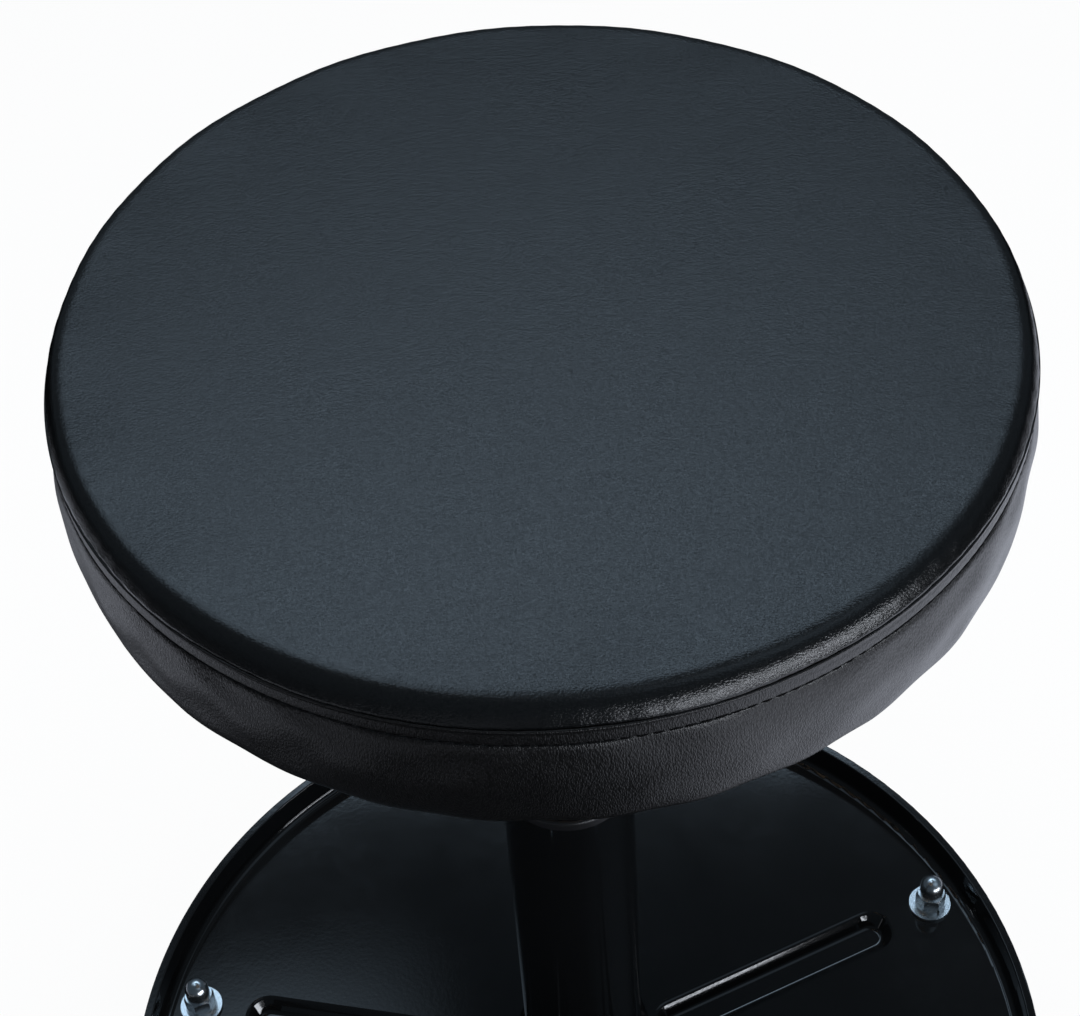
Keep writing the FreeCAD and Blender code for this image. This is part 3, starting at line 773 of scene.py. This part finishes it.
@dataclass
class Cushion:
    """Sewn seat: a crowned top panel, a folded seam and a topstitched band that turns under the board."""

    palette: Palette
    body: str = "seat"
    # Grids: rows are picked from a finer profile, and crowd towards the seam by a power.
    columns: int = 480
    top_rows: int = 72
    band_rows: int = 126
    strip_rows: int = 42
    samples_per_row: int = 6
    top_crowding: float = 1.7
    band_crowding: float = 1.5
    crown_points: int = 160
    roll_points: int = 80
    tuck_points: int = 30
    band_points: int = 700
    # Top panel: the seam is shut but for a stretch. A seam is the end of the roll and the dip of the tuck.
    crown: float = 0.4 * MM
    crown_bend: float = 2.4
    edge_rise: float = 9.6 * MM
    roll: float = 8.2 * MM
    roll_bend: float = 2.7
    lean: float = 1.4 * MM
    lean_degrees: float = 115.0
    overhang: float = 0.9 * MM
    tuck_in: float = 0.5 * MM
    tuck_drop: float = 0.6 * MM
    seam_shut: tuple[float, float] = (0.3 * MM, -0.3 * MM)
    seam_open: tuple[float, float] = (0.85 * MM, -0.1 * MM)
    open_degrees: float = -55.0
    open_spread: float = 29.0
    edge_start: float = 0.8
    edge_power: int = 4
    top_ripple: Ripple = Ripple(0.1 * MM, turns=(3, 17), rise=1.5, count=10, seed=4)
    top_pucker: float = 0.07 * MM
    # Band. Paths are in millimetres: out from a radius and up from a level.
    seam_depth: float = 3.2 * MM
    fold_path: Path = ((-0.2, -0.15),)
    fold_drop: float = 1.5 * MM
    lip: float = 1.35 * MM
    strip_path: Path = ((-0.35, -0.05), (0.0, -0.7), (-0.45, -2.1), (-0.3, -4.4), (-0.3, -6.8))
    groove: float = 0.8 * MM
    shoulder_path: Path = ((-0.3, -8.4), (0.4, -11.5))
    swell_path: Path = ((-0.3, -20.0), (0.0, -28.0), (-0.6, -37.0))
    corner: float = 10.8 * MM
    corner_inset: float = 1.4 * MM
    corner_degrees: tuple[float, ...] = (0, 30, 60, 90)
    hem_path: Path = ((-24.0, 0.0), (-37.0, 0.0), (-37.5, 1.3))
    fold_degrees: tuple[float, ...] = (
        -168, -153, -141, -130, -119.3, -106.6, -87, -74, -59.5, -44, -31, -14,
        2, 15, 33, 47, 63, 78, 92, 109, 124, 141, 155, 173,
    )
    facet_share: float = 0.2
    facet_start: float = 14.0 * MM
    facet_run: float = 34.0 * MM
    band_ripple: Ripple = Ripple(0.22 * MM, turns=(6, 34), rise=5.0, count=16, seed=7)
    ripple_power: float = 0.7
    band_pucker: float = 0.08 * MM
    pucker_rows: float = 5.0
    # Stitches
    stitch_drop: float = 7.6 * MM
    stitch_length: float = 4.1 * MM
    stitch_pitch: float = 5.2 * MM
    stitch_radius: float = 0.46 * MM
    stitch_sink: float = 0.4 * MM
    stitch_proud: float = 0.25 * MM
    stitch_rows: int = 7
    stitch_sides: int = 6
    stitch_power: int = 4
    stitch_tip: float = 0.05
    # Cloth run
    sim_columns: int = 230
    sim_rows: int = 26
    sim_frames: int = 20
    sim_quality: int = 6
    sewn_rows: int = 2
    stapled_rows: int = 3
    stapled_share: float = 0.6
    cloth_mass: float = 0.25
    cloth_stretch: float = 12.0
    cloth_bend: float = 0.6
    pressure: float = 5.0
    travel_cap: float = 5.0 * MM
    # Read from model.glb, or found on the way
    radius: float = field(init=False)
    seam: float = field(init=False)
    widest: float = field(init=False)
    bottom: float = field(init=False)
    angles: Array = field(init=False)
    stitch_row: Array = field(init=False)

    def __post_init__(self) -> None:
        """Reads the seat's size from its two vinyl nodes."""
        low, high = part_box("seat_top_panel")
        band_low, band_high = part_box("seat_side_band")
        self.radius = high[0]
        self.seam = low[2]
        self.widest = band_high[0]
        self.bottom = band_low[2]
        self.angles = np.linspace(0, TURN, self.columns, endpoint=False)

    def top_profile(self, stand: float, dip: float) -> Array:
        """Crown and roll that each fall with a power of the distance past their start, then a tuck.

        Args:
            stand: height above the seam at which the roll ends.
            dip: height above the seam in the middle of the tuck.

        Returns:
            Array of shape (points, 2).
        """
        reach = self.radius + self.overhang
        edge = reach - self.roll
        level = self.seam + self.edge_rise
        turn = self.seam + stand
        inner = np.linspace(0, edge, self.crown_points)[:-1]
        crown = np.stack([inner, level + self.crown * (1 - (inner / edge) ** self.crown_bend)], axis=1)
        past = np.linspace(0, 1, self.roll_points)
        roll = np.stack([edge + self.roll * past, level - (level - turn) * past**self.roll_bend], axis=1)
        tuck = spline([
            (reach, turn),
            (reach - self.tuck_in, self.seam + dip),
            (self.radius - self.seam_depth, self.seam - self.tuck_drop),
        ], self.tuck_points)[1:]
        return even(np.concatenate([crown, roll, tuck]), self.top_rows * self.samples_per_row)

    def band_profile(self) -> Array:
        """Curve through a folded lip, flat strip, stitched groove, slow swell, round corner and hem.

        Returns:
            Array of shape (points, 2).
        """
        lip = self.radius + self.lip
        middle = np.array([self.widest - self.corner_inset - self.corner, self.bottom + self.corner])
        swing = np.radians(self.corner_degrees)
        corner = middle + self.corner * np.stack([np.cos(swing), -np.sin(swing)], axis=1)
        return spline([
            (self.radius - self.seam_depth, self.seam - self.fold_drop),
            *moved(self.fold_path, self.radius, self.seam),
            *moved(self.strip_path, lip, self.seam),
            (lip - self.groove, self.seam - self.stitch_drop),
            *moved(self.shoulder_path, lip, self.seam),
            *moved(self.swell_path, self.widest, self.seam),
            *map(tuple, corner),
            *moved(self.hem_path, self.widest, self.bottom),
        ], self.band_points)

    def facets(self, angles: Array) -> Array:
        """Depth of the flats between the folds at the lower edge: a parabola from fold to fold.

        Args:
            angles: angles of the columns, from 0 to one turn.

        Returns:
            How far each column is drawn in, in metres.
        """
        folds = np.sort(np.radians(np.array(self.fold_degrees) % 360.0))
        ring = np.concatenate([[folds[-1] - TURN], folds, [folds[0] + TURN]])
        place = np.searchsorted(ring, angles, side="right") - 1
        half = (ring[place + 1] - ring[place]) / 2
        share = (angles - ring[place]) / half - 1
        return self.facet_share * self.radius * (1 - np.cos(half)) * (1 - share**2)

    def stitches_round(self) -> int:
        """Number of stitches round the seat."""
        return round(TURN * self.radius / self.stitch_pitch)

    def build_top(self) -> bpy.types.Object:
        """Top panel: the profile carried round the axis, leaning a little, with ripples near the seam.

        Returns:
            The new piece.
        """
        pick = 1 - (1 - np.linspace(0, 1, self.top_rows)) ** self.top_crowding
        near = np.round(pick * (self.top_rows * self.samples_per_row - 1)).astype(int)
        shut = self.top_profile(*self.seam_shut)[near]
        apart = self.top_profile(*self.seam_open)[near]
        away = (self.angles - math.radians(self.open_degrees) + math.pi) % TURN - math.pi
        share = np.exp(-((away / math.radians(self.open_spread)) ** 2))[None, :, None]
        rows = shut[:, None] * (1 - share) + apart[:, None] * share
        # The foam stands a little higher towards the back.
        high = np.clip((rows[..., 1] - self.seam) / self.edge_rise, 0, 1)
        tilt = 1 + rows[..., 0] / self.radius * np.cos(self.angles - math.radians(self.lean_degrees))
        rows[..., 1] += self.lean * high * tilt
        grid = lathe(rows, self.angles)
        across = np.linspace(0, 1, self.top_rows)
        past = shut[:, 0] / self.radius - self.edge_start
        near_edge = np.clip(past / (1 - self.edge_start), 0, 1)[:, None]
        # One pucker spans two stitches.
        puckers = round(TURN * self.radius / (2 * self.stitch_pitch))
        pucker = self.top_pucker * np.cos(self.angles * puckers)
        ripple = self.top_ripple.heights(self.angles, across)
        lift = ripple * near_edge + pucker * near_edge**self.edge_power
        grid = grid + grid_normals(grid) * lift[..., None]
        grid[0] = grid[0].mean(axis=0)
        return surface("seat_top", grid)

    def swell(self, profile: Array) -> Array:
        """Cloth run on a coarse band that is sewn at its top and stapled at its lower edge.

        Args:
            profile: the band's lower part, of shape (rows, 2).

        Returns:
            Movement of the coarse grid's points, of shape (sim_rows, sim_columns, 3).
        """
        angles = np.linspace(0, TURN, self.sim_columns, endpoint=False)
        grid = lathe(even(profile, self.sim_rows), angles)
        piece = surface("band_sim", grid)
        held = self.facets(angles) > self.stapled_share * self.facets(angles).max()
        number = np.arange(self.sim_rows * self.sim_columns).reshape(self.sim_rows, self.sim_columns)
        group = piece.vertex_groups.new(name="held")
        group.add(number[:self.sewn_rows].ravel().tolist(), 1.0, "REPLACE")
        group.add(number[-self.stapled_rows:, held].ravel().tolist(), 1.0, "REPLACE")
        cloth = piece.modifiers.new("cloth", "CLOTH")
        settings = cloth.settings
        settings.quality = self.sim_quality
        settings.mass = self.cloth_mass
        settings.tension_stiffness = self.cloth_stretch
        settings.compression_stiffness = self.cloth_stretch
        settings.bending_stiffness = self.cloth_bend
        settings.use_pressure = True
        settings.uniform_pressure_force = self.pressure
        settings.vertex_group_mass = "held"
        settings.effector_weights.gravity = 0.0
        cloth.point_cache.frame_start = 1
        cloth.point_cache.frame_end = self.sim_frames
        scene = bpy.context.scene
        for step in range(1, self.sim_frames + 1):
            scene.frame_set(step)
        mesh = piece.evaluated_get(bpy.context.evaluated_depsgraph_get()).data
        found = np.empty(grid.size)
        mesh.vertices.foreach_get("co", found)
        move = found.reshape(grid.shape) - grid
        length = np.linalg.norm(move, axis=-1, keepdims=True)
        bpy.data.objects.remove(piece)
        scene.frame_set(1)
        LOG.info("band cloth moved %.1f mm at most", length.max() / MM)
        return move * np.minimum(1.0, self.travel_cap / np.maximum(length, TINY))

    def build_band(self) -> bpy.types.Object:
        """Band: the profile carried round the axis, drawn in at the facets, swollen as cloth and rippled.

        Returns:
            The new piece.
        """
        profile = self.band_profile()
        start = int(np.argmin(np.abs(profile[:, 1] - (self.seam - self.stitch_drop))))
        upper = even(profile[: start + 1], self.strip_rows)
        count = self.band_rows - len(upper) + 1
        pick = np.linspace(0, 1, count) ** self.band_crowding
        fine = count * self.samples_per_row
        lower = even(profile[start:], fine)[np.round(pick * (fine - 1)).astype(int)]
        rows = np.concatenate([upper, lower[1:]])
        first = len(upper) - 1
        low = np.clip((self.seam - self.facet_start - rows[:, 1]) / self.facet_run, 0, 1)[:, None]
        drawn = np.repeat(rows[:, None, :], self.columns, axis=1)
        # The facets fade in by a smooth step.
        drawn[..., 0] -= self.facets(self.angles)[None, :] * low**2 * (3 - 2 * low)
        grid = lathe(drawn, self.angles)
        move = self.swell(profile[start:])
        row_weights = bspline_weights(pick * (self.sim_rows - 1), self.sim_rows, False)
        column_weights = bspline_weights(self.angles / TURN * self.sim_columns, self.sim_columns, True)
        grid[first:] += np.einsum("ai,ijk,bj->abk", row_weights, move, column_weights)
        across = np.linspace(0, 1, len(grid))
        past = np.arange(len(grid)) - first
        below = np.clip(past / (len(grid) - first), 0, 1)[:, None]
        ripple = self.band_ripple.heights(self.angles, across) * np.sin(math.pi * below) ** self.ripple_power
        pucker = np.cos(self.angles * self.stitches_round())
        strip = np.exp(-((past / self.pucker_rows) ** 2))[:, None]
        lift = ripple + self.band_pucker * pucker[None, :] * strip
        grid = grid + grid_normals(grid) * lift[..., None]
        self.stitch_row = grid[first]
        return surface("seat_band", grid)

    def build_stitches(self) -> bpy.types.Object:
        """Row of short capsules of thread along the stitched groove, each sagging as a parabola to its ends.

        Returns:
            The new piece.
        """
        count = self.stitches_round()
        turns = np.arange(count) / count * TURN
        radius = np.interp(turns, self.angles, np.linalg.norm(self.stitch_row[:, :2], axis=1), period=TURN)
        height = np.interp(turns, self.angles, self.stitch_row[:, 2], period=TURN)
        along = np.linspace(-1, 1, self.stitch_rows)
        around = np.linspace(0, TURN, self.stitch_sides, endpoint=False)
        girth = self.stitch_radius * np.sqrt(np.clip(1 - along**self.stitch_power, self.stitch_tip, 1))
        sag = self.stitch_sink * along**2
        grid = np.stack([
            girth[:, None] * np.cos(around) - sag[:, None] + self.stitch_proud,
            np.repeat(along[:, None], self.stitch_sides, axis=1) * self.stitch_length / 2,
            girth[:, None] * np.sin(around),
        ], axis=-1)
        places = np.zeros((count, 4, 4))
        places[:, 0, 0] = places[:, 1, 1] = np.cos(turns)
        places[:, 1, 0] = np.sin(turns)
        places[:, 0, 1] = -np.sin(turns)
        places[:, 2, 2] = places[:, 3, 3] = 1
        places[:, 0, 3] = radius * np.cos(turns)
        places[:, 1, 3] = radius * np.sin(turns)
        places[:, 2, 3] = height
        return copies("seat_stitches", grid[:, ::-1], places)

    def build(self) -> list[bpy.types.Object]:
        """Returns:
            The new pieces.
        """
        top = self.build_top()
        band = self.build_band()
        stitches = self.build_stitches()
        self.palette.dress(top, TOP_VINYL)
        self.palette.dress(band, BAND_VINYL)
        self.palette.dress(stitches, THREAD)
        for piece in (top, band, stitches):
            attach(piece, self.body)
        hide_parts("seat_top_panel", "seat_foam")
        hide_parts("seat_side_band")
        return [top, band, stitches]


@dataclass
class Hardware:
    """Rigid pieces that keep their solids, each with its own finish."""

    palette: Palette
    nodes: dict[Finish, tuple[str, ...]] = field(default_factory=lambda: {
        VENEER: ("seat_board",),
        SATIN_BLACK: ("seat_plate", "taper_socket", "gas_cylinder"),
        GLOSS_BLACK: ("column_tube", "column_weld", "column_foot", "tray_pan"),
        ZINC: (
            "seat_tee_nuts", "seat_bolts", "lever_pivot", "release_lever", "clip_washer", "caster_stems",
            "caster_washers", "caster_lock_washers", "caster_acorn_nuts",
        ),
        STEEL: (
            "release_pin", "piston_rod", "upper_race", "lower_race", "thrust_balls", "retaining_clip",
            "caster_swivel_balls",
        ),
        BLACK_PLASTIC: ("lever_grip", "rod_gland", "piston", "guide_bush"),
        RUBBER: ("piston_seal", "bottom_bumper"),
    })
    caster_endings: dict[str, Finish] = field(default_factory=lambda: {
        "fork": ZINC, "axle": ZINC, "hub": GREY_PLASTIC, "tread": RUBBER,
    })

    def finishes(self) -> dict[str, Finish]:
        """Finish of each rigid node, with those of the casters found by the ending of their names.

        Returns:
            The finishes by node name.
        """
        chosen = {node: finish for finish, nodes in self.nodes.items() for node in nodes}
        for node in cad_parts:
            ending = node.rsplit("_", 1)[-1]
            if node.startswith("caster_") and ending in self.caster_endings:
                chosen[node] = self.caster_endings[ending]
        return chosen

    def build(self) -> list[bpy.types.Object]:
        """Dresses every rigid node.

        Returns:
            The dressed nodes.
        """
        finishes = self.finishes()
        for node, finish in finishes.items():
            self.palette.dress(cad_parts[node], finish)
        return [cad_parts[node] for node in finishes]


# Studio

@dataclass(frozen=True)
class Softbox:
    """Rectangular area light aimed at a point, in metres and watts."""

    name: str
    place: Place
    aim: Place
    size: tuple[float, float]
    power: float
    colour: Colour = WHITE
    mirrored: bool = True

    def build(self) -> bpy.types.Object:
        """Puts the light into the scene.

        Returns:
            The light.
        """
        data = bpy.data.lights.new(self.name, "AREA")
        data.shape = "RECTANGLE"
        data.size, data.size_y = self.size
        data.energy = self.power
        data.color = self.colour
        light = link(self.name, data)
        light.location = self.place
        light.rotation_euler = (Vector(self.aim) - Vector(self.place)).to_track_quat("-Z", "Y").to_euler()
        light.visible_glossy = self.mirrored
        return light


@dataclass
class Studio:
    """White floor, soft lights and the photograph's camera."""

    # Camera
    image_width: float = 1080.0
    focal_pixels: float = 2266.9
    sensor: float = 36.0
    sight: float = 100.0
    distance: float = 825.9 * MM
    elevation: float = 43.11
    azimuth: float = -4.9
    roll: float = -4.03
    aim_side: float = -3.8 * MM
    aim_drop: float = 92.6 * MM
    # Floor: white to the camera but for the share that shows shadows, with pools of light in reflections.
    floor_size: float = 8.0
    floor_colour: Colour = (0.9, 0.9, 0.9)
    floor_roughness: float = 0.9
    white_share: float = 0.92
    pool_colour: Colour = (0.95, 1.0, 1.14)
    right_pool: tuple[Ramp, ...] = (
        Ramp(Axis.SIDE, 0.09, 0.44, 0.015, 1.05),
        Ramp(Axis.SIDE, 0.82, 1.05, 1.0, 0.0),
        Ramp(Axis.DEPTH, -0.35, 0.3, 1.0, 0.92),
        Ramp(Axis.DEPTH, 0.5, 0.75, 1.0, 0.0),
    )
    left_pool: tuple[Ramp, ...] = (
        Ramp(Axis.SIDE, -0.48, -0.68, 0.0, 0.36),
        Ramp(Axis.SIDE, -0.8, -1.05, 1.0, 0.0),
        Ramp(Axis.DEPTH, -0.15, 0.3, 1.0, 2.6),
        Ramp(Axis.DEPTH, 0.45, 0.65, 1.0, 0.0),
    )
    # Backdrop: brightens upwards by a power and ends at its edges.
    sky_colour: Colour = (0.70, 0.92, 1.14)
    ambient: float = 0.06
    backdrop_foot: Ramp = Ramp(Axis.HEIGHT, 0.15, 0.6, 0.0, 0.06)
    backdrop_rise: Ramp = Ramp(Axis.HEIGHT, 0.61, 0.8, 0.0, 1.0)
    backdrop_power: float = 2.4
    backdrop_level: float = 5.9
    backdrop_edges: tuple[Ramp, ...] = (
        Ramp(Axis.HEIGHT, 0.79, 0.81, 1.0, 0.0),
        Ramp(Axis.DEPTH, 0.05, 0.45, 0.0, 1.0),
        Ramp(Axis.SIDE, -0.6, -0.05, 0.0, 1.0),
        Ramp(Axis.SIDE, 0.15, 0.7, 1.0, 0.0),
    )
    # Small high patch behind, and a round glow in front.
    patch: tuple[Ramp, ...] = (
        Ramp(Axis.HEIGHT, 0.838, 0.868, 0.0, 1.0),
        Ramp(Axis.SIDE, -0.01, -0.09, 0.0, 1.0),
        Ramp(Axis.SIDE, -0.22, -0.32, 1.0, 0.0),
        Ramp(Axis.DEPTH, 0.05, 0.25, 0.0, 1.6),
    )
    glow_way: Place = (0.45, -0.25, 0.86)
    glow_span: Span = (0.9, 0.995, 0.0, 0.4)
    strip: Softbox = Softbox(
        "right strip", (1.2, -1.66, 0.37), (0.0, 0.0, 0.6), (1.95, 0.18), 15.5, colour=(0.93, 0.98, 1.06))
    fill: Softbox = Softbox("top fill", (0.0, 0.0, 2.4), (0.0, 0.0, 0.0), (1.6, 1.6), 50.0, mirrored=False)

    def camera(self) -> None:
        """Pinhole camera aimed a little below the seat's seam, rolled as the photograph is."""
        seam = Vector((0, 0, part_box("seat_top_panel")[0][2]))
        tilt = math.radians(self.elevation)
        turn = Matrix.Rotation(math.radians(self.azimuth), 3, "Z")
        place = seam + turn @ Vector((0, -self.distance * math.cos(tilt), self.distance * math.sin(tilt)))
        target = seam + turn @ Vector((self.aim_side, 0, -self.aim_drop))
        ahead = (target - place).normalized()
        right = ahead.cross(Vector((0, 0, 1))).normalized()
        up = right.cross(ahead)
        lean = math.radians(self.roll)
        side = right * math.cos(lean) + up * math.sin(lean)
        rise = up * math.cos(lean) - right * math.sin(lean)
        data = bpy.data.cameras.new("camera")
        data.sensor_width = self.sensor
        data.lens = self.focal_pixels / self.image_width * self.sensor
        data.clip_end = self.sight
        camera = link("camera", data)
        camera.matrix_world = Matrix((
            (side.x, rise.x, -ahead.x, place.x),
            (side.y, rise.y, -ahead.y, place.y),
            (side.z, rise.z, -ahead.z, place.z),
            (0, 0, 0, 1),
        ))
        bpy.context.scene.camera = camera

    def floor(self) -> bpy.types.Object:
        """Pale square that is white to the camera and clear from below, with a soft shadow and painted pools
        of light that reflections see.

        Returns:
            The floor.
        """
        half = self.floor_size / 2
        line = np.linspace(-half, half, 3)
        grid = np.stack([*np.meshgrid(line, line), np.zeros((3, 3))], axis=-1).transpose(1, 0, 2)
        piece = surface("floor", grid, closed=False)
        look = Shaded("white floor")
        look.set(Base_Color=self.floor_colour, Roughness=self.floor_roughness, Specular_IOR_Level=0.0)
        graph = look.graph
        path = graph.add("ShaderNodeLightPath").outputs
        place = graph.add("ShaderNodeSeparateXYZ", {"Vector": look.vector})
        bounced = graph.math("MAXIMUM", path["Is Glossy Ray"], path["Is Transmission Ray"])
        # Painted pools of light: the floor glows brighter at its right and left where reflections see it.
        pools = graph.math("ADD", graph.ramps(place, *self.right_pool), graph.ramps(place, *self.left_pool))
        colour = graph.mix(bounced, WHITE, self.pool_colour)
        level = graph.math("ADD", path["Is Camera Ray"], graph.math("MULTIPLY", bounced, pools))
        glow = graph.add("ShaderNodeEmission", {"Color": colour, "Strength": level}).outputs["Emission"]
        share = graph.math("MULTIPLY", path["Is Camera Ray"], self.white_share)
        above = graph.blend(graph.math("MAXIMUM", share, bounced), look.shader.outputs["BSDF"], glow)
        under = graph.add("ShaderNodeNewGeometry").outputs["Backfacing"]
        shown = graph.blend(under, above, graph.add("ShaderNodeBsdfTransparent").outputs["BSDF"])
        graph.feed(look.material.node_tree.nodes["Material Output"].inputs["Surface"], shown)
        piece.data.materials.append(look.material)
        return piece

    def lights(self) -> None:
        """Bright backdrop behind with dim surroundings, a low strip at the right and a fill above."""
        world = bpy.data.worlds.new("studio")
        world.use_nodes = True
        graph = Graph(world.node_tree)
        source = graph.add("ShaderNodeTexCoord").outputs["Generated"]
        way = graph.add("ShaderNodeSeparateXYZ", {"Vector": source})
        rise = graph.math("POWER", graph.ramps(way, self.backdrop_rise), self.backdrop_power)
        rise = graph.math("MULTIPLY", rise, self.backdrop_level)
        backdrop = graph.math("ADD", graph.ramps(way, self.backdrop_foot), rise)
        backdrop = graph.math("MULTIPLY", backdrop, graph.ramps(way, *self.backdrop_edges))
        toward = graph.add("ShaderNodeVectorMath", {0: source, 1: self.glow_way}, operation="DOT_PRODUCT")
        glow = graph.math("ADD", graph.remap(toward.outputs["Value"], *self.glow_span), self.ambient)
        level = graph.math("ADD", graph.math("ADD", backdrop, graph.ramps(way, *self.patch)), glow)
        seen = graph.add("ShaderNodeLightPath").outputs["Is Camera Ray"]
        shade = world.node_tree.nodes["Background"]
        graph.feed(shade.inputs["Color"], graph.mix(seen, self.sky_colour, WHITE))
        graph.feed(shade.inputs["Strength"], graph.math("MAXIMUM", seen, level))
        bpy.context.scene.world = world
        self.strip.build()
        self.fill.build()

    def build(self) -> list[bpy.types.Object]:
        """Sets the stage.

        Returns:
            The stage's pieces.
        """
        bpy.context.scene.view_settings.view_transform = "Standard"
        self.camera()
        floor = self.floor()
        self.lights()
        return [floor]


def main() -> None:
    """Builds the stool's dress and the studio, and reports each piece."""
    logging.basicConfig(level=logging.INFO, format="%(name)s: %(message)s")
    palette = Palette()
    for assembly in (Cushion(palette), Hardware(palette), Studio()):
        for piece in assembly.build():
            finish = piece.material_slots[0].name
            LOG.info("%s: %d faces, %s", piece.name, len(piece.data.polygons), finish)


if __name__ == "__main__":
    main()
